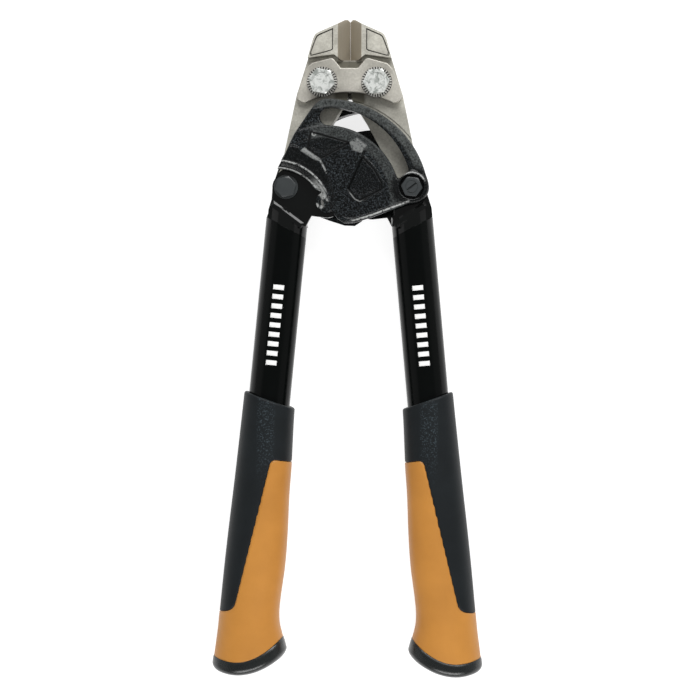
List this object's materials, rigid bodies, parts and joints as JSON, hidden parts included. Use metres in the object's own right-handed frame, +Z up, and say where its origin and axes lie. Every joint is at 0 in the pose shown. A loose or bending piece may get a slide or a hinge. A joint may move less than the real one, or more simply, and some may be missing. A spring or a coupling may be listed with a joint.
{
  "type": "bolt cutters",
  "caption": "Compact compound bolt cutters with forged centre-cut jaws, black cam castings and two straight tubular handles with contoured two-tone grips, lying closed.",
  "frame": {"origin": "centre of the tool's outline on the surface it lies on", "axes": "+Y along the tool towards the jaws, +Z up through its thickness, +X to the right seen from above"},
  "size_m": [0.144, 0.3555, 0.03],
  "materials": {
    "plate_steel": "satin, tumbled and lightly etched",
    "zinc": "bright zinc plate, slightly clouded",
    "washer_steel": "satin",
    "jaw_steel": "satin, warm grey, ground along the bevels",
    "black_oxide": "semi-gloss black",
    "casting_paint": "glossy black over coarse cast skin",
    "pin_steel": "ground",
    "yoke_paint": "gloss black",
    "tube_paint": "gloss black powder coat",
    "grip_black": "fine matt texture",
    "grip_orange": "fine matt texture",
    "cap_black": "satin"
  },
  "bodies": {
    "head": {"front_link_plate": "plate_steel", "back_link_plate": "plate_steel", "left_jaw_bolt": "zinc", "right_jaw_bolt": "zinc", "left_jaw_nut": "zinc", "right_jaw_nut": "zinc", "left_star_washer": "washer_steel", "right_star_washer": "washer_steel", "left_nut_washer": "washer_steel", "right_nut_washer": "washer_steel"},
    "left_jaw": {"left_jaw": "jaw_steel", "left_pivot_bolt": "black_oxide", "left_pivot_nut": "black_oxide"},
    "right_jaw": {"right_jaw": "jaw_steel", "right_pivot_bolt": "black_oxide", "right_pivot_nut": "black_oxide"},
    "front_casting": {"front_casting": "casting_paint", "front_knuckle_pin": "pin_steel"},
    "back_casting": {"back_casting": "casting_paint", "back_knuckle_pin": "pin_steel"},
    "left_handle": {"left_yoke": "yoke_paint", "left_tube": "tube_paint", "left_grip_body": "grip_black", "left_grip_inlay": "grip_orange", "left_end_cap": "cap_black"},
    "right_handle": {"right_yoke": "yoke_paint", "right_tube": "tube_paint", "right_grip_body": "grip_black", "right_grip_inlay": "grip_orange", "right_end_cap": "cap_black"}
  },
  "joints": [
    {"name": "left_handle_turn", "type": "hinge", "parent": "left_jaw", "child": "left_handle", "pos_m": [-0.034, 0.0864, 0.015], "axis": [0, 0, -1], "range_deg": [0, 50]},
    {"name": "right_handle_turn", "type": "hinge", "parent": "right_jaw", "child": "right_handle", "pos_m": [0.034, 0.0864, 0.015], "axis": [0, 0, 1], "range_deg": [0, 50]},
    {"name": "left_jaw_turn", "type": "hinge", "parent": "head", "child": "left_jaw", "pos_m": [-0.0147, 0.143, 0.015], "axis": [0, 0, 1], "range_deg": [0, 7.4]},
    {"name": "right_jaw_turn", "type": "hinge", "parent": "head", "child": "right_jaw", "pos_m": [0.0147, 0.143, 0.015], "axis": [0, 0, -1], "range_deg": [0, 7.4]},
    {"name": "front_casting_turn", "type": "hinge", "parent": "right_jaw", "child": "front_casting", "pos_m": [0.034, 0.0864, 0.015], "axis": [0, 0, 1], "range_deg": [0, 24.9]},
    {"name": "back_casting_turn", "type": "hinge", "parent": "left_jaw", "child": "back_casting", "pos_m": [-0.034, 0.0864, 0.015], "axis": [0, 0, -1], "range_deg": [0, 24.9]}
  ],
  "couplings": [
    {"joint": "right_handle_turn", "follows": "left_handle_turn", "ratio": 1},
    {"joint": "left_jaw_turn", "follows": "left_handle_turn", "ratio": 0.148},
    {"joint": "right_jaw_turn", "follows": "left_handle_turn", "ratio": 0.148},
    {"joint": "front_casting_turn", "follows": "left_handle_turn", "ratio": 0.4972},
    {"joint": "back_casting_turn", "follows": "left_handle_turn", "ratio": 0.4972}
  ]
}
